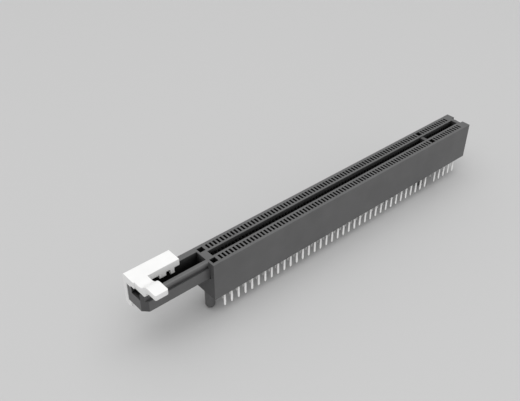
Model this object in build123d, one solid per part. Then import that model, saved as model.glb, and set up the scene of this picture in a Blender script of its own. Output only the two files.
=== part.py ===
from build123d import *
import os

# Card edge connector, in millimetres. The origin is on the axis of the datum peg, in the plane of the
# board that the part is soldered to. +X points to the short bank, +Z away from the board.

# Contact pattern: two banks of positions with the key between them, on both sides of the card slot
pitch = 1.0
short_count = 11
long_count = 71
key_gap = 3.0
bank_ends = (short_count, 18, 32, 49, short_count + long_count)

# Body
body_top = 11.25
body_underside = 1.25
body_half_width = 3.75
end_margin = 3.0
end_draft = 0.3

# Sloped rear side with its moulding grooves
ridge_reach = 1.53
ridge_drop = 3.5
foot_draft = 1.15
groove_pitch = 6.5
groove_inset = 3.3
groove_width = 1.9
groove_root_cover = 0.5
groove_top_cover = 0.25

# Long end of the sloped side: the recess and the rib that stands between it and the arm
bulge_margin = 2.65
lower_end_round = 2.5
recess_upper_y = 3.2
recess_lower_y = 3.8
recess_cover_rib = 0.35
recess_cover_bulge = 1.5
end_rib_top = 1.35
end_rib_knee = 1.95
end_rib_foot = 1.57
end_rib_draft = 0.1

# Card slot and key
slot_half_width = 0.93
slot_depth = 7.95
slot_margin_short = 1.95
slot_margin_long = 1.9
key_width = 1.05
key_shift = -0.325
key_recess = 0.25

# Contact cavities
cavity_inner = 1.5
cavity_outer = 3.0
cavity_side_gap = 0.04
lip_depth = 1.1
throat_width = 0.6
throat_height = 3.35

# Square coring holes beside the key and at the long end
core_size = 1.45
core_depth = 4.0
core_wall_end = 0.5
core_shift = 0.08

# Pegs and feet under the body
peg_radius = 1.17
far_peg_margin = 1.7
peg_length = 3.95
peg_round = 0.85
foot_wide = (2.0, 1.7)
foot_small = (0.9, 0.9)
foot_wide_y = 3.25
foot_small_y = -2.15
foot_mid = (1.0, 0.9)

# Channel in the short end face, with its rib
end_channel_depth = 0.9
end_channel_width = 2.85
end_channel_height = 7.9
end_channel_shift = 0.075
end_rib_width = 0.9
end_rib_shift = 0.45
end_rib_height = 5.2
end_rib_depth = 0.45

# Retention arm on the long end
arm_length = 16.7
arm_height = 4.65
arm_front = -2.1
arm_front_wall = 1.05
arm_rear_wall = 1.5
arm_floor = 1.25
arm_end_wall = 1.1
arm_nose = 1.25
arm_edge_round = 0.45
arm_notch_depth = 1.7
channel_rib_width = 0.7
channel_rib_height = 0.9
side_groove_top = 0.7
side_groove_height = 1.2
side_groove_depth = 0.6
pocket_depth = 0.3
pocket_cover = 0.35
pocket_side = 0.3
pocket_height = 3.0
pocket_slant = 1.6

# Snap boss that holds the latch
boss_length = 1.4
boss_height = 1.85
boss_depth = 1.0
boss_from_end = 2.7
boss_rise = 0.85
boss_bevel = 0.25

# Latch
latch_length = 11.4
latch_past_end = 0.15
latch_plate = 1.15
latch_above = 2.1
latch_below = 1.3
latch_seat_gap = 0.05
latch_top_gap = 0.45
latch_front = 0.85
latch_flange_reach = 1.05
latch_round = 0.5
window_from_end = (1.25, 5.95)
window_length = (3.1, 4.3)
upper_window_top = (0.9, 0.0)
upper_window_height = (2.3, 1.5)
lower_window_drop = 3.3
lower_window_height = 1.5
tooth_length = 1.0
tooth_from_tip = 1.35
tooth_drop = 0.9
block_length = 1.7
block_from_tip = 3.45
block_drop = 0.5
tooth_inset = 0.15
lever_length = 3.15
lever_inset = 0.3
lever_tip_y = -6.85
lever_thickness = 1.3
lever_rise = 3.8
lever_round = 0.35
lever_upper_bend = (-1.6, -3.3)
lever_lower_bend = (-2.7, -3.65)
lever_upper_bend_round = 2.2
lever_lower_bend_round = (0.9, 1.5)

# Contacts
contact_thickness = 0.2
contact_width = 0.48
leg_height = 3.15
touch_height = 6.35
touch_y = 0.75
tip_height = 9.65
tip_y = 1.9
tail_outer_y = 3.25
tail_inner_y = 1.25
tail_length = 2.45
tail_bend_outer = 0.6
tail_bend_inner = 0.45
tail_exit = 1.0


def block(x_low, x_high, y_low, y_high, z_low, z_high):
    """A box between two corners."""
    size = Box(x_high - x_low, y_high - y_low, z_high - z_low)
    return Pos((x_low + x_high) / 2, (y_low + y_high) / 2, (z_low + z_high) / 2) * size


def bar(outline, x_low, x_high):
    """A bar along X with the given outline of (y, z) points."""
    face = make_face(Plane.YZ * Polyline(*outline, close=True))
    return Pos(x_low, 0, 0) * extrude(face, x_high - x_low, (1, 0, 0))


def plate(outline, y_low, y_high):
    """An upright plate with the given outline of (x, z) points."""
    face = make_face(Plane.XZ * Polyline(*outline, close=True))
    return Pos(0, y_low, 0) * extrude(face, y_high - y_low, (0, 1, 0))


def slab(outline, z_low, z_high):
    """An upright slab with the given plan of (x, y) points."""
    face = make_face(Polyline(*outline, close=True))
    return Pos(0, 0, z_low) * extrude(face, z_high - z_low, (0, 0, 1))


def position_x(number):
    """Where contact position 1 to 82 is along the connector, counted from the short end."""
    if number <= short_count:
        return key_gap / 2 + (short_count - number) * pitch
    return -key_gap / 2 - (number - short_count - 1) * pitch


last_contact_x = position_x(short_count + long_count)
short_end = position_x(1) + end_margin
long_end = last_contact_x - end_margin
bulge_end = long_end + bulge_margin
arm_tip = long_end - arm_length
arm_underside = body_top - arm_height
arm_rear = body_half_width
ridge_y = body_half_width + ridge_reach
ridge_z = body_top - ridge_drop
lip_z = body_top - lip_depth
cavity_width = contact_width + 2 * cavity_side_gap
overshoot = 1.0


def make_shell():
    """The outside of the body: upright front, sloped rear, drafted short end and the rib at the long end."""
    upper = bar([
        (-body_half_width, ridge_z), (-body_half_width, body_top), (body_half_width, body_top),
        (ridge_y, ridge_z)], bulge_end, short_end)
    lower = bar([
        (-body_half_width, body_underside), (-body_half_width, ridge_z), (ridge_y, ridge_z),
        (ridge_y - foot_draft, body_underside)], bulge_end, short_end)
    rounded = block(bulge_end, short_end, -body_half_width, ridge_y, body_underside, ridge_z)
    corner = rounded.edges().filter_by(Axis.Z).sort_by(lambda edge: edge.center().Y - edge.center().X)[-1]
    shell = upper + (lower & fillet(corner, lower_end_round))
    shell += block(long_end, bulge_end, -body_half_width, recess_upper_y, ridge_z, body_top)
    shell += block(long_end, bulge_end + lower_end_round, -body_half_width, recess_lower_y,
                   body_underside, ridge_z)
    shell += bar([
        (0, body_underside), (0, body_top), (body_half_width, body_top), (ridge_y, ridge_z),
        (ridge_y - end_rib_draft, body_underside)], long_end, bulge_end)
    draft = plate([
        (short_end, body_top), (short_end + overshoot, body_top), (short_end + overshoot, body_underside),
        (short_end - end_draft, body_underside)], -body_half_width - overshoot, ridge_y + overshoot)
    return shell - draft


def make_grooves():
    """Upright V grooves in the sloped side, each with one square wall and one slanting one."""
    root_y = body_half_width - groove_root_cover
    slant = groove_width / (ridge_y - root_y) * (ridge_y + overshoot - root_y)
    grooves = []
    wall = short_end - groove_inset
    while wall > bulge_end:
        plan = [(wall, root_y), (wall, ridge_y + overshoot), (wall + slant, ridge_y + overshoot)]
        grooves.append(slab(plan, ridge_z, body_top - groove_top_cover))
        wall -= groove_pitch
    return grooves


def make_end_recess():
    """The recess between the sloped side and its end rib, in an upper and a lower part."""
    upper = plate([
        (long_end + end_rib_top, ridge_z), (long_end + end_rib_top, body_top - recess_cover_rib),
        (bulge_end, body_top - recess_cover_bulge), (bulge_end, ridge_z)],
        recess_upper_y, ridge_y + overshoot)
    lower = plate([
        (long_end + end_rib_foot, body_underside), (long_end + end_rib_knee, ridge_z), (bulge_end, ridge_z),
        (bulge_end, body_underside)], recess_lower_y, ridge_y + overshoot)
    return [upper, lower]


def make_card_slot():
    """The slot for the card's edge, in a long and a short section with the key between them."""
    floor = body_top - slot_depth
    key_low = key_shift - key_width / 2
    key_high = key_shift + key_width / 2
    wide = slot_half_width
    return [
        block(key_high, short_end - slot_margin_short, -wide, wide, floor, body_top + overshoot),
        block(long_end + slot_margin_long, key_low, -wide, wide, floor, body_top + overshoot),
        block(key_low - key_recess, key_high + key_recess, -wide, wide,
              body_top - key_recess, body_top + overshoot),
    ]


def make_cavity(side):
    """One contact's cavity: a slot in the top, a window to the card slot and a throat to the underside."""
    slant = (cavity_outer - throat_width - slot_half_width) / throat_height
    outline = [
        (cavity_inner, body_top + overshoot),
        (cavity_outer, body_top + overshoot),
        (cavity_outer, body_underside - overshoot),
        (cavity_outer - throat_width + slant * overshoot, body_underside - overshoot),
        (slot_half_width, body_underside + throat_height),
        (slot_half_width / 2, body_underside + throat_height),
        (slot_half_width / 2, lip_z),
        (cavity_inner, lip_z),
    ]
    return bar([(side * y, z) for y, z in outline], -cavity_width / 2, cavity_width / 2)


def make_coring():
    """Square blind holes that keep the walls even: two at the key and two at the long end."""
    holes = []
    for low in (core_shift - core_size / 2, long_end + core_wall_end):
        for side in (-1, 1):
            y_low, y_high = sorted((side * cavity_outer, side * (cavity_outer - core_size)))
            holes.append(block(low, low + core_size, y_low, y_high,
                               body_top - core_depth, body_top + overshoot))
    return holes


def make_end_channel():
    """The channel in the short end face, open at the top, and the rib that stands in it."""
    floor_x = short_end - end_channel_depth
    low = end_channel_shift - end_channel_width / 2
    high = end_channel_shift + end_channel_width / 2
    channel = block(floor_x, short_end + overshoot, low, high,
                    body_top - end_channel_height, body_top + overshoot)
    rib = block(floor_x, floor_x + end_rib_depth, end_rib_shift - end_rib_width / 2,
                end_rib_shift + end_rib_width / 2, body_top - end_rib_height, body_top - key_recess)
    return channel, rib


def make_peg():
    """A locating peg with a rounded end; it grows out of the body's underside."""
    height = peg_length + body_underside
    peg = Pos(0, 0, -peg_length + height / 2) * Cylinder(peg_radius, height)
    return fillet(peg.edges().sort_by(Axis.Z)[0], peg_round)


def make_feet():
    """Stand-off feet that keep the body clear of the solder joints."""
    end_x = short_end - end_draft
    feet = [
        block(end_x - foot_wide[0], end_x,
              foot_wide_y - foot_wide[1] / 2, foot_wide_y + foot_wide[1] / 2, 0, body_underside),
        block(end_x - foot_small[0], end_x,
              foot_small_y - foot_small[1] / 2, foot_small_y + foot_small[1] / 2, 0, body_underside),
    ]
    for side in (-1, 1):
        y_low, y_high = sorted(side * (peg_radius + foot_mid[1] * share) for share in (1 / 2, 3 / 2))
        feet.append(block(-foot_mid[0] / 2, foot_mid[0] / 2, y_low, y_high, 0, body_underside))
    return feet


def make_arm():
    """The retention arm: a trough with an open top, a nose chamfer and a side groove."""
    arm = block(arm_tip, long_end, arm_front, arm_rear, arm_underside, body_top)
    nose = arm.edges().filter_by(Axis.Z).sort_by(lambda edge: edge.center().X + edge.center().Y)[0]
    arm = chamfer(nose, arm_nose)
    rim = arm.edges().filter_by(Axis.X).sort_by(lambda edge: edge.center().Y - edge.center().Z)[0]
    arm = fillet(rim, arm_edge_round)
    inner_front = arm_front + arm_front_wall
    inner_rear = arm_rear - arm_rear_wall
    inner_tip = arm_tip + arm_end_wall
    floor = arm_underside + arm_floor
    arm -= block(inner_tip, long_end, inner_front, inner_rear, floor, body_top + overshoot)
    arm -= block(arm_tip - overshoot, inner_tip, arm_front + arm_nose, inner_rear,
                 body_top - arm_notch_depth, body_top + overshoot)
    groove_top = body_top - side_groove_top
    arm -= block(arm_tip - overshoot, long_end, arm_front - overshoot, arm_front + side_groove_depth,
                 groove_top - side_groove_height, groove_top)
    middle = (inner_front + inner_rear) / 2
    arm += block(inner_tip, long_end, middle - channel_rib_width / 2, middle + channel_rib_width / 2,
                 floor, floor + channel_rib_height)
    return arm


def make_pocket():
    """The pocket in the long end face beside the arm."""
    low = -body_half_width + pocket_side
    top = body_top - pocket_cover
    bottom = top - pocket_height
    outline = [(low, top), (arm_front, top), (arm_front, bottom - pocket_slant), (low, bottom)]
    return bar(outline, long_end, long_end + pocket_depth)


def make_boss():
    """The snap boss on the arm's rear wall, bevelled where the latch rides over it."""
    low_x = arm_tip + boss_from_end
    top = body_top + boss_rise
    boss = block(low_x, low_x + boss_length, arm_rear, arm_rear + boss_depth, top - boss_height, top)
    edge = boss.edges().filter_by(Axis.Z).sort_by(lambda item: item.center().Y - item.center().X)[-1]
    return chamfer(edge, boss_bevel)


def make_housing():
    """The whole moulding: body, arm, pegs and feet in one piece, with every cavity cut."""
    channel, rib = make_end_channel()
    housing = make_shell() - make_end_recess() - make_grooves() - channel
    housing += rib
    housing += make_feet()
    housing += make_arm()
    housing += make_boss()
    housing += [make_peg(), Pos(last_contact_x - far_peg_margin, 0, 0) * make_peg()]
    cuts = make_card_slot() + make_coring() + [make_pocket()]
    for side in (-1, 1):
        cavity = make_cavity(side)
        for number in range(1, short_count + long_count + 1):
            cuts.append(Pos(position_x(number), 0, 0) * cavity)
    return housing - cuts


def make_latch():
    """The latch: one clip with a side plate, a top plate, a lower flange, teeth and a finger lever."""
    low_x = arm_tip - latch_past_end
    high_x = low_x + latch_length
    face_in = arm_rear + latch_seat_gap
    face_out = face_in + latch_plate
    top = body_top + latch_above
    under = body_top + latch_top_gap
    bottom = arm_underside - latch_seat_gap - latch_below
    section = [
        (latch_front, under),
        (latch_front, top),
        (face_out, top),
        (face_out, bottom),
        (face_in - latch_flange_reach, bottom),
        (face_in - latch_flange_reach, bottom + latch_below),
        (face_in, bottom + latch_below),
        (face_in, body_top + latch_seat_gap),
        (arm_rear - arm_rear_wall, body_top + latch_seat_gap),
        (arm_rear - arm_rear_wall, under),
    ]
    latch = bar(section, low_x, high_x)
    corners = latch.edges().filter_by(Axis.X).group_by(Axis.Y)[-1]
    latch = fillet(corners, latch_round)

    lever_low = low_x + lever_inset
    lever_high = lever_low + lever_length
    lever_top = body_top + lever_rise
    lever_under = lever_top - lever_thickness
    bends = [
        ((lever_lower_bend[0], under), lever_lower_bend_round[0]),
        ((lever_lower_bend[1], lever_under), lever_lower_bend_round[1]),
        ((lever_upper_bend[0], top), lever_upper_bend_round),
        ((lever_upper_bend[1], lever_top), lever_upper_bend_round),
    ]
    lever = bar([
        (latch_front, under), bends[0][0], bends[1][0], (lever_tip_y, lever_under),
        (lever_tip_y, lever_top), bends[3][0], bends[2][0], (latch_front, top)], lever_low, lever_high)
    for (y, z), radius in bends:
        edge = lever.edges().filter_by(Axis.X).sort_by_distance((lever_low, y, z))[0]
        lever = fillet(edge, radius)
    tip = lever.edges().filter_by(Axis.Z).group_by(Axis.Y)[0]
    latch += fillet(tip, lever_round)

    tooth_low = latch_front
    tooth_high = arm_rear - arm_rear_wall - tooth_inset
    teeth = ((tooth_from_tip, tooth_length, tooth_drop), (block_from_tip, block_length, block_drop))
    for from_tip, length, drop in teeth:
        x = high_x - from_tip
        latch += block(x - length, x, tooth_low, tooth_high, body_top - drop, under + latch_seat_gap)

    cuts = []
    windows = zip(window_from_end, window_length, upper_window_top, upper_window_height)
    for from_end, length, rise, height in windows:
        x = low_x + from_end
        z = body_top + rise
        cuts.append(block(x, x + length, arm_rear, face_out + overshoot, z - height, z))
        z = body_top - lower_window_drop
        cuts.append(block(x, x + length, arm_rear, face_out + overshoot, z - lower_window_height, z))
    return latch - cuts


def strip_outline(path, thickness):
    """The outline of a bent strip: its centre line moved half a thickness to each side, with mitred bends."""
    points = [Vector(y, z) for y, z in path]
    runs = [(after - before).normalized() for before, after in zip(points, points[1:])]
    left = []
    right = []
    for index, point in enumerate(points):
        before = runs[max(index - 1, 0)]
        after = runs[min(index, len(runs) - 1)]
        across = (Vector(-before.Y, before.X) + Vector(-after.Y, after.X)).normalized()
        reach = thickness / 2 / across.dot(Vector(-after.Y, after.X))
        left.append(point + across * reach)
        right.append(point - across * reach)
    return [(point.X, point.Y) for point in left + right[::-1]]


def make_contact(tail_y, bend):
    """One stamped contact on the rear side: tail, bend, leg on the cavity's wall, spring arm and tip."""
    leg_y = cavity_outer - contact_thickness / 2
    path = [
        (tail_y, -tail_length),
        (tail_y, tail_exit - bend),
        (leg_y, tail_exit),
        (leg_y, body_underside + leg_height),
        (touch_y, body_underside + touch_height),
        (tip_y, body_underside + tip_height),
    ]
    return bar(strip_outline(path, contact_thickness), -contact_width / 2, contact_width / 2)


def make_contact_groups():
    """Every contact as its own solid, grouped by side, row of tails and bank of positions."""
    kinds = {
        "outer": (make_contact(tail_outer_y, tail_bend_outer), 0),
        "inner": (make_contact(tail_inner_y, tail_bend_inner), 1),
    }
    groups = {}
    for side, turn in (("rear", 0), ("front", 180)):
        for row, (contact, parity) in kinds.items():
            first = 1
            for bank, last in enumerate(bank_ends, 1):
                numbers = [number for number in range(first, last + 1) if number % 2 == parity]
                groups[f"{side}_{row}_contacts_{bank}"] = Compound(children=[
                    Pos(position_x(number), 0, 0) * Rot(0, 0, turn) * contact for number in numbers])
                first = last + 1
    return groups


os.makedirs("parts", exist_ok=True)
nodes = {"housing": make_housing(), "latch": make_latch()}
nodes.update(make_contact_groups())
for name, shape in nodes.items():
    export_step(shape, f"parts/{name}.step")
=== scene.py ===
import math

import bmesh
import bpy
from mathutils import Matrix, Vector


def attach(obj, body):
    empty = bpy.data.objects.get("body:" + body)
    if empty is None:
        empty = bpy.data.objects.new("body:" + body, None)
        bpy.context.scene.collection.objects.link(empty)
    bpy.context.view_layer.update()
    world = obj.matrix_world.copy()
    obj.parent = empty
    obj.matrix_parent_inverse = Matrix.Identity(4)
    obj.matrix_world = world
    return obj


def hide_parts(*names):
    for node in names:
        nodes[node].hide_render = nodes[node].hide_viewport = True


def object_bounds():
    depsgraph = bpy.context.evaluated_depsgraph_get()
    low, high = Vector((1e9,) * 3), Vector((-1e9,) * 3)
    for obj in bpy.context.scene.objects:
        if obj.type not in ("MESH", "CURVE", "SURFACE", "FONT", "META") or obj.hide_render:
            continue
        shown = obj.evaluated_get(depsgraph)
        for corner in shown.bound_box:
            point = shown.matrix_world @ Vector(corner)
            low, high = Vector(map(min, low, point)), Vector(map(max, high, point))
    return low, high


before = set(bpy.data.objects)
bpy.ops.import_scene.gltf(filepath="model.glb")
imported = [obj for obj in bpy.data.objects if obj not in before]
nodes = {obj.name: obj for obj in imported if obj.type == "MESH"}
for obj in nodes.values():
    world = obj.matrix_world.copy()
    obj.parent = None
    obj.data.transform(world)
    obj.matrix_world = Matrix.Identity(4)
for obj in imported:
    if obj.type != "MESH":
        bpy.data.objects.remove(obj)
cad_low, cad_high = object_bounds()
mm = 0.001


# Housing
# One moulding of dark grey glass-filled plastic. The mould leaves small radii on every outer edge, a fine
# spark-eroded grain on the flanks and paler flow marks. Shade is painted into the colour where walls stand
# close; inside the slots, the end channel and the arm's trough the plastic is duller and the painted shade
# near black.
housing_edge_radius = 0.09 * mm
housing_edge_angle = math.radians(28)
housing_tone = (0.080, 0.080, 0.081, 1)
housing_pale_tone = (0.098, 0.098, 0.099, 1)
# The near-black colour painted in as shade inside the hollows.
housing_painted_shade_tone = (0.0015, 0.0015, 0.0015, 1)
hollow_top = 11.2 * mm
cavities = ((-74.0 * mm, -3.05 * mm, 1.3 * mm), (12.2 * mm, 3.05 * mm, hollow_top))
end_channel = ((12.2 * mm, -1.4 * mm, 3.0 * mm), (14.4 * mm, 1.55 * mm, hollow_top))
arm_notch = ((-91.5 * mm, -3.0 * mm, 9.3 * mm), (-88.0 * mm, 2.25 * mm, hollow_top))
arm_trough = ((-91.0 * mm, -1.1 * mm, 7.5 * mm), (-74.0 * mm, 2.25 * mm, hollow_top))
peg_zone_top = 1.2 * mm
merge_distance = 0.0005 * mm
flat_angle = math.radians(0.4)


def loose_copy(node, name):
    """A merged copy of a CAD node's mesh, with its flat areas joined."""
    shape = bmesh.new()
    shape.from_mesh(nodes[node].data)
    bmesh.ops.remove_doubles(shape, verts=shape.verts, dist=merge_distance)
    bmesh.ops.dissolve_limit(shape, angle_limit=flat_angle, verts=shape.verts, edges=shape.edges,
                             use_dissolve_boundaries=False)
    piece = bpy.data.objects.new(name, bpy.data.meshes.new(name))
    bpy.context.scene.collection.objects.link(piece)
    return piece, shape


def round_edges(shape, radius, angle, segments):
    """Rounds the outer edges that turn by more than the angle."""
    sharp = [edge for edge in shape.edges
             if len(edge.link_faces) == 2 and edge.calc_face_angle_signed(0) > angle]
    bmesh.ops.bevel(shape, geom=sharp, offset=radius, segments=segments, profile=0.5, affect="EDGES",
                    clamp_overlap=True)


def moulded_skin():
    """A node group for moulded plastic: flow marks in the colour, and a fine grain in the gloss and as
    height.
    """
    group = bpy.data.node_groups.new("moulded_skin", "ShaderNodeTree")
    for title, kind in (("Tone", "NodeSocketColor"), ("Pale Tone", "NodeSocketColor"),
                        ("Smooth", "NodeSocketFloat"), ("Rough", "NodeSocketFloat"),
                        ("Mark Scale", "NodeSocketFloat"), ("Grain Scale", "NodeSocketFloat")):
        group.interface.new_socket(title, in_out="INPUT", socket_type=kind)
    for title, kind in (("Color", "NodeSocketColor"), ("Roughness", "NodeSocketFloat"),
                        ("Height", "NodeSocketFloat")):
        group.interface.new_socket(title, in_out="OUTPUT", socket_type=kind)
    tree, link = group.nodes, group.links.new
    given = tree.new("NodeGroupInput")
    result = tree.new("NodeGroupOutput")
    place = tree.new("ShaderNodeTexCoord")
    marks = tree.new("ShaderNodeTexNoise")
    marks.inputs["Detail"].default_value = 3
    link(place.outputs["Object"], marks.inputs["Vector"])
    link(given.outputs["Mark Scale"], marks.inputs["Scale"])
    spread = tree.new("ShaderNodeMapRange")
    spread.inputs["From Min"].default_value = 0.35
    spread.inputs["From Max"].default_value = 0.7
    link(marks.outputs["Fac"], spread.inputs["Value"])
    grain = tree.new("ShaderNodeTexNoise")
    grain.inputs["Detail"].default_value = 2
    link(place.outputs["Object"], grain.inputs["Vector"])
    link(given.outputs["Grain Scale"], grain.inputs["Scale"])
    tint = tree.new("ShaderNodeMix")
    tint.data_type = "RGBA"
    link(spread.outputs["Result"], tint.inputs["Factor"])
    link(given.outputs["Tone"], tint.inputs["A"])
    link(given.outputs["Pale Tone"], tint.inputs["B"])
    gloss = tree.new("ShaderNodeMapRange")
    link(grain.outputs["Fac"], gloss.inputs["Value"])
    link(given.outputs["Smooth"], gloss.inputs["To Min"])
    link(given.outputs["Rough"], gloss.inputs["To Max"])
    link(tint.outputs["Result"], result.inputs["Color"])
    link(gloss.outputs["Result"], result.inputs["Roughness"])
    link(grain.outputs["Fac"], result.inputs["Height"])
    return group


skin_group = moulded_skin()


def plastic(name, tone, pale_tone, smooth, rough, sheen, mark_scale, grain_scale, grain_depth):
    """A moulded plastic material with its own tones, gloss and grain."""
    material = bpy.data.materials.new(name)
    material.use_nodes = True
    tree, link = material.node_tree.nodes, material.node_tree.links.new
    shader = tree["Principled BSDF"]
    skin = tree.new("ShaderNodeGroup")
    skin.node_tree = skin_group
    for title, value in (("Tone", tone), ("Pale Tone", pale_tone), ("Smooth", smooth), ("Rough", rough),
                         ("Mark Scale", mark_scale), ("Grain Scale", grain_scale)):
        skin.inputs[title].default_value = value
    shader.inputs["Specular IOR Level"].default_value = sheen
    bump = tree.new("ShaderNodeBump")
    bump.inputs["Strength"].default_value = 0.35
    bump.inputs["Distance"].default_value = grain_depth
    link(skin.outputs["Color"], shader.inputs["Base Color"])
    link(skin.outputs["Roughness"], shader.inputs["Roughness"])
    link(skin.outputs["Height"], bump.inputs["Height"])
    link(bump.outputs["Normal"], shader.inputs["Normal"])
    return material


def paint_hollow_shade(material, painted_shade_colour, reach, closed, open_air):
    """Paints shade into the plastic's colour, and dulls it, where other walls stand closer than the reach.
    """
    tree, link = material.node_tree.nodes, material.node_tree.links.new
    shader = tree["Principled BSDF"]
    outer_color = shader.inputs["Base Color"].links[0].from_socket
    outer_gloss = shader.inputs["Roughness"].links[0].from_socket
    # The occlusion drives the painted shade in the colour and the higher roughness in the hollows.
    hollow = tree.new("ShaderNodeAmbientOcclusion")
    hollow.samples = 8
    hollow.inputs["Distance"].default_value = reach
    openness = tree.new("ShaderNodeMapRange")
    openness.inputs["From Min"].default_value = closed
    openness.inputs["From Max"].default_value = open_air
    link(hollow.outputs["AO"], openness.inputs["Value"])
    shade = tree.new("ShaderNodeMix")
    shade.data_type = "RGBA"
    shade.inputs["A"].default_value = painted_shade_colour
    link(openness.outputs["Result"], shade.inputs["Factor"])
    link(outer_color, shade.inputs["B"])
    link(shade.outputs["Result"], shader.inputs["Base Color"])
    dull = tree.new("ShaderNodeMix")
    dull.inputs["A"].default_value = 1
    link(openness.outputs["Result"], dull.inputs["Factor"])
    link(outer_gloss, dull.inputs["B"])
    link(dull.outputs["Result"], shader.inputs["Roughness"])


housing_plastic = plastic("housing_plastic", housing_tone, housing_pale_tone, 0.45, 0.60, sheen=1.0,
                          mark_scale=180, grain_scale=9000, grain_depth=0.02 * mm)
# Painted shade in the housing's grooves, recesses and corners, within 1.6 mm of other walls.
paint_hollow_shade(housing_plastic, housing_painted_shade_tone, reach=1.6 * mm, closed=0.12, open_air=0.42)
# A copy of the housing plastic for the hollows, with less sheen and stronger painted shade that goes near
# black.
cavity_shade_painted_plastic = plastic("cavity_shade_painted_plastic", housing_tone, housing_pale_tone, 0.60, 0.75, sheen=0.25,
                         mark_scale=180, grain_scale=9000, grain_depth=0.02 * mm)
paint_hollow_shade(cavity_shade_painted_plastic, housing_painted_shade_tone, reach=5 * mm, closed=0.25, open_air=0.62)
housing, housing_shape = loose_copy("housing", "moulded_housing")
round_edges(housing_shape, housing_edge_radius, housing_edge_angle, segments=2)
for face in housing_shape.faces:
    middle = face.calc_center_median()
    face.smooth = middle.z < peg_zone_top and abs(face.normal.z) < 0.99
    # Faces in the contact cavities, the end channel, the arm's trough and notch take the copy with the
    # stronger painted shade.
    for low, high in (cavities, end_channel, arm_trough, arm_notch):
        if all(low[k] < middle[k] < high[k] for k in range(3)):
            face.material_index = 1
housing_shape.to_mesh(housing.data)
housing_shape.free()
housing.data.materials.append(housing_plastic)
housing.data.materials.append(cavity_shade_painted_plastic)
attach(housing, "root")
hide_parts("housing")


# Latch
# One white clip of unfilled plastic that snaps over a boss on the arm's rear wall. It is polished, with
# soft edges all round and faint sinks where the walls are thick.
latch_edge_radius = 0.16 * mm
latch_edge_angle = math.radians(28)
latch_tone = (0.89, 0.89, 0.885, 1)
latch_pale_tone = (0.93, 0.93, 0.925, 1)
latch_plastic = plastic("latch_plastic", latch_tone, latch_pale_tone, 0.30, 0.42, sheen=0.5,
                        mark_scale=260, grain_scale=5000, grain_depth=0.008 * mm)
latch, latch_shape = loose_copy("latch", "moulded_latch")
round_edges(latch_shape, latch_edge_radius, latch_edge_angle, segments=3)
latch_shape.to_mesh(latch.data)
latch_shape.free()
latch.data.materials.append(latch_plastic)
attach(latch, "root")
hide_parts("latch")


# Contacts
# Stamped strips of copper alloy, bent at the tail, the leg and the spring arm. They stand every 2 mm in each
# of four rows, with a wider step at the key. Their tapered tails have a bright tin skin, and above the
# plating line, inside the housing, the metal is duller.
strip_width = 0.52 * mm
strip_thickness = 0.2 * mm
bend_radius = 0.16 * mm
tail_tip = -2.45 * mm
tail_point = 0.4 * mm
tip_share = 0.55
tail_exit = 1.0 * mm
leg_y = 2.9 * mm
leg_top = 4.4 * mm
touch_point = (0.75 * mm, 7.6 * mm)
lead_in = (0.85 * mm, 8.35 * mm)
spring_tip = (1.65 * mm, 9.2 * mm)
plating_line = 1.6 * mm
plating_fade = 0.2 * mm
tin_tone = (0.96, 0.96, 0.95, 1)
tin_pale_tone = (0.99, 0.99, 0.98, 1)
inner_metal_tone = (0.72, 0.71, 0.69, 1)
row_step = 2.0 * mm
rows = {
    "outer": {"tail_y": 3.25 * mm, "bend": 0.6 * mm, "short": (5, 10.5 * mm), "long": (36, -1.5 * mm)},
    "inner": {"tail_y": 1.25 * mm, "bend": 0.45 * mm, "short": (6, 11.5 * mm), "long": (35, -2.5 * mm)},
}

tin = bpy.data.materials.new("contact_tin")
tin.use_nodes = True
tin_tree, tin_link = tin.node_tree.nodes, tin.node_tree.links.new
tin_shader = tin_tree["Principled BSDF"]
tin_skin = tin_tree.new("ShaderNodeGroup")
tin_skin.node_tree = skin_group
for title, value in (("Tone", tin_tone), ("Pale Tone", tin_pale_tone), ("Smooth", 0.30), ("Rough", 0.45),
                     ("Mark Scale", 900), ("Grain Scale", 14000)):
    tin_skin.inputs[title].default_value = value
tin_place = tin_tree.new("ShaderNodeTexCoord")
tin_height = tin_tree.new("ShaderNodeSeparateXYZ")
tin_link(tin_place.outputs["Object"], tin_height.inputs["Vector"])
inside = tin_tree.new("ShaderNodeMapRange")
inside.inputs["From Min"].default_value = plating_line - plating_fade
inside.inputs["From Max"].default_value = plating_line + plating_fade
tin_link(tin_height.outputs["Z"], inside.inputs["Value"])
plating = tin_tree.new("ShaderNodeMix")
plating.data_type = "RGBA"
plating.inputs["B"].default_value = inner_metal_tone
tin_link(inside.outputs["Result"], plating.inputs["Factor"])
tin_link(tin_skin.outputs["Color"], plating.inputs["A"])
tin_link(plating.outputs["Result"], tin_shader.inputs["Base Color"])
tin_link(inside.outputs["Result"], tin_shader.inputs["Metallic"])
tin_link(tin_skin.outputs["Roughness"], tin_shader.inputs["Roughness"])


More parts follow.
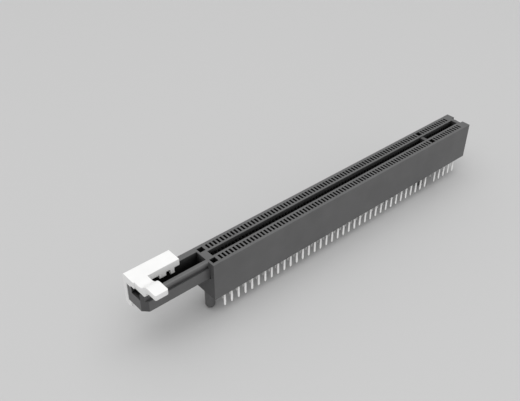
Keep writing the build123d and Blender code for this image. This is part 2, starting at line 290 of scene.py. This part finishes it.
def contact_row_tree():
    """Geometry nodes: a bent path becomes one strip, and the strip is repeated in two banks."""
    group = bpy.data.node_groups.new("contact_row", "GeometryNodeTree")
    group.is_modifier = True
    face = group.interface
    face.new_socket("Path", in_out="INPUT", socket_type="NodeSocketGeometry")
    for title, kind in (("Width", "NodeSocketFloat"), ("Thickness", "NodeSocketFloat"),
                        ("Bend Radius", "NodeSocketFloat"), ("Point Length", "NodeSocketFloat"),
                        ("Step", "NodeSocketFloat"), ("Short Count", "NodeSocketInt"),
                        ("Short Start", "NodeSocketFloat"), ("Long Count", "NodeSocketInt"),
                        ("Long Start", "NodeSocketFloat"), ("Tail Tip", "NodeSocketFloat"),
                        ("Finish", "NodeSocketMaterial")):
        face.new_socket(title, in_out="INPUT", socket_type=kind)
    face.new_socket("Row", in_out="OUTPUT", socket_type="NodeSocketGeometry")
    tree, link = group.nodes, group.links.new
    given = tree.new("NodeGroupInput")
    result = tree.new("NodeGroupOutput")

    path = tree.new("GeometryNodeMeshToCurve")
    link(given.outputs["Path"], path.inputs["Mesh"])
    bends = tree.new("GeometryNodeFilletCurve")
    bends.mode = "POLY"
    bends.inputs["Count"].default_value = 1
    bends.inputs["Limit Radius"].default_value = True
    link(path.outputs["Curve"], bends.inputs["Curve"])
    link(given.outputs["Bend Radius"], bends.inputs["Radius"])
    section = tree.new("GeometryNodeCurvePrimitiveQuadrilateral")
    link(given.outputs["Width"], section.inputs["Width"])
    link(given.outputs["Thickness"], section.inputs["Height"])
    strip = tree.new("GeometryNodeCurveToMesh")
    strip.inputs["Fill Caps"].default_value = True
    link(bends.outputs["Curve"], strip.inputs["Curve"])
    link(section.outputs["Curve"], strip.inputs["Profile Curve"])

    spot = tree.new("GeometryNodeInputPosition")
    apart = tree.new("ShaderNodeSeparateXYZ")
    link(spot.outputs["Position"], apart.inputs["Vector"])
    above_tip = tree.new("ShaderNodeMath")
    above_tip.operation = "SUBTRACT"
    link(apart.outputs["Z"], above_tip.inputs[0])
    link(given.outputs["Tail Tip"], above_tip.inputs[1])
    taper = tree.new("ShaderNodeMapRange")
    taper.inputs["To Min"].default_value = tip_share
    link(above_tip.outputs["Value"], taper.inputs["Value"])
    link(given.outputs["Point Length"], taper.inputs["From Max"])
    less = tree.new("ShaderNodeMath")
    less.operation = "SUBTRACT"
    less.inputs[1].default_value = 1
    link(taper.outputs["Result"], less.inputs[0])
    across = tree.new("ShaderNodeMath")
    across.operation = "MULTIPLY"
    link(apart.outputs["X"], across.inputs[0])
    link(less.outputs["Value"], across.inputs[1])
    shift = tree.new("ShaderNodeCombineXYZ")
    link(across.outputs["Value"], shift.inputs["X"])
    shaped = tree.new("GeometryNodeSetPosition")
    link(strip.outputs["Mesh"], shaped.inputs["Geometry"])
    link(shift.outputs["Vector"], shaped.inputs["Offset"])

    both = tree.new("GeometryNodeJoinGeometry")
    back = tree.new("ShaderNodeMath")
    back.operation = "MULTIPLY"
    back.inputs[1].default_value = -1
    link(given.outputs["Step"], back.inputs[0])
    stride = tree.new("ShaderNodeCombineXYZ")
    link(back.outputs["Value"], stride.inputs["X"])
    for bank in ("Short", "Long"):
        first = tree.new("ShaderNodeCombineXYZ")
        link(given.outputs[f"{bank} Start"], first.inputs["X"])
        line = tree.new("GeometryNodeMeshLine")
        link(given.outputs[f"{bank} Count"], line.inputs["Count"])
        link(first.outputs["Vector"], line.inputs["Start Location"])
        link(stride.outputs["Vector"], line.inputs["Offset"])
        link(line.outputs["Mesh"], both.inputs["Geometry"])
    copies = tree.new("GeometryNodeInstanceOnPoints")
    link(both.outputs["Geometry"], copies.inputs["Points"])
    link(shaped.outputs["Geometry"], copies.inputs["Instance"])
    real = tree.new("GeometryNodeRealizeInstances")
    link(copies.outputs["Instances"], real.inputs["Geometry"])
    coat = tree.new("GeometryNodeSetMaterial")
    link(real.outputs["Geometry"], coat.inputs["Geometry"])
    link(given.outputs["Finish"], coat.inputs["Material"])
    link(coat.outputs["Geometry"], result.inputs["Row"])
    return group


def plain_mesh(piece):
    """The modifiers' result as a plain mesh, with the modifiers taken off."""
    view = bpy.context.evaluated_depsgraph_get()
    made = bpy.data.meshes.new_from_object(piece.evaluated_get(view), depsgraph=view)
    piece.modifiers.clear()
    piece.data = made


def set_inputs(modifier, values):
    """Sets a geometry nodes modifier's inputs by their names."""
    for item in modifier.node_group.interface.items_tree:
        if item.item_type == "SOCKET" and item.in_out == "INPUT" and item.name in values:
            modifier[item.identifier] = values[item.name]


row_tree = contact_row_tree()
for side, toward in (("rear", 1), ("front", -1)):
    for row, facts in rows.items():
        name = f"{side}_{row}_contact_row"
        path = [(facts["tail_y"], tail_tip), (facts["tail_y"], tail_tip + tail_point),
                (facts["tail_y"], tail_exit - facts["bend"]), (leg_y, tail_exit), (leg_y, leg_top),
                touch_point, lead_in, spring_tip]
        outline = bpy.data.meshes.new(name)
        outline.from_pydata([(0, toward * y, z) for y, z in path],
                            [(k, k + 1) for k in range(len(path) - 1)], [])
        piece = bpy.data.objects.new(name, outline)
        bpy.context.scene.collection.objects.link(piece)
        maker = piece.modifiers.new("row", "NODES")
        maker.node_group = row_tree
        set_inputs(maker, {
            "Width": strip_width, "Thickness": strip_thickness, "Bend Radius": bend_radius,
            "Point Length": tail_point, "Step": row_step, "Short Count": facts["short"][0],
            "Short Start": facts["short"][1], "Long Count": facts["long"][0], "Long Start": facts["long"][1],
            "Tail Tip": tail_tip, "Finish": tin})
        plain_mesh(piece)
        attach(piece, "root")
        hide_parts(*[f"{side}_{row}_contacts_{bank}" for bank in range(1, 6)])


# Floor, light and camera
# A pale matt floor under the pegs, a bright even sky and one large soft lamp from above, as in a plain
# product studio. The camera stands at the photograph's place and looks down on the smooth front.
floor_half = 1.5
floor_drop = 0.05 * mm
floor_tone = (0.56, 0.56, 0.56, 1)
floor_mesh = bpy.data.meshes.new("floor")
floor_z = cad_low.z - floor_drop
floor_corners = [(-floor_half, -floor_half, floor_z), (floor_half, -floor_half, floor_z),
                 (floor_half, floor_half, floor_z), (-floor_half, floor_half, floor_z)]
floor_mesh.from_pydata(floor_corners, [], [(0, 1, 2, 3)])
floor = bpy.data.objects.new("floor", floor_mesh)
bpy.context.scene.collection.objects.link(floor)
floor_paint = bpy.data.materials.new("floor_paint")
floor_paint.use_nodes = True
floor_shader = floor_paint.node_tree.nodes["Principled BSDF"]
floor_shader.inputs["Base Color"].default_value = floor_tone
floor_shader.inputs["Roughness"].default_value = 0.55
floor_mesh.materials.append(floor_paint)

sky = bpy.data.worlds.new("sky")
sky.use_nodes = True
sky.node_tree.nodes["Background"].inputs["Color"].default_value = (1, 1, 1, 1)
sky.node_tree.nodes["Background"].inputs["Strength"].default_value = 0.58
bpy.context.scene.world = sky

lamp_place = Vector((-0.12, -0.12, 1.00))
lamp_aim = Vector((-0.038, 0, 0.005))
lamp_data = bpy.data.lights.new("soft_lamp", "AREA")
lamp_data.shape = "RECTANGLE"
lamp_data.size = 1.6
lamp_data.size_y = 1.4
lamp_data.energy = 8.6
lamp = bpy.data.objects.new("soft_lamp", lamp_data)
lamp.location = lamp_place
lamp.rotation_mode = "QUATERNION"
lamp.rotation_quaternion = (lamp_aim - lamp_place).to_track_quat("-Z", "Y")
bpy.context.scene.collection.objects.link(lamp)

photo_width = 520
focal_pixels = 735.727
camera_azimuth = math.radians(-40.781)
camera_elevation = math.radians(36.590)
camera_place = Vector((-143.199 * mm, -98.408 * mm, 115.015 * mm))
camera_data = bpy.data.cameras.new("camera")
camera_data.sensor_width = 36
camera_data.lens = focal_pixels / photo_width * camera_data.sensor_width
camera_data.clip_start = 0.01
camera = bpy.data.objects.new("camera", camera_data)
bpy.context.scene.collection.objects.link(camera)
toward_camera = Vector((math.sin(camera_azimuth) * math.cos(camera_elevation),
                        -math.cos(camera_azimuth) * math.cos(camera_elevation), math.sin(camera_elevation)))
rightward = Vector((0, 0, 1)).cross(toward_camera).normalized()
upward = toward_camera.cross(rightward)
camera_turn = Matrix((rightward, upward, toward_camera)).transposed().to_4x4()
camera.matrix_world = Matrix.Translation(camera_place) @ camera_turn
bpy.context.scene.camera = camera
bpy.context.scene.view_settings.view_transform = "Standard"
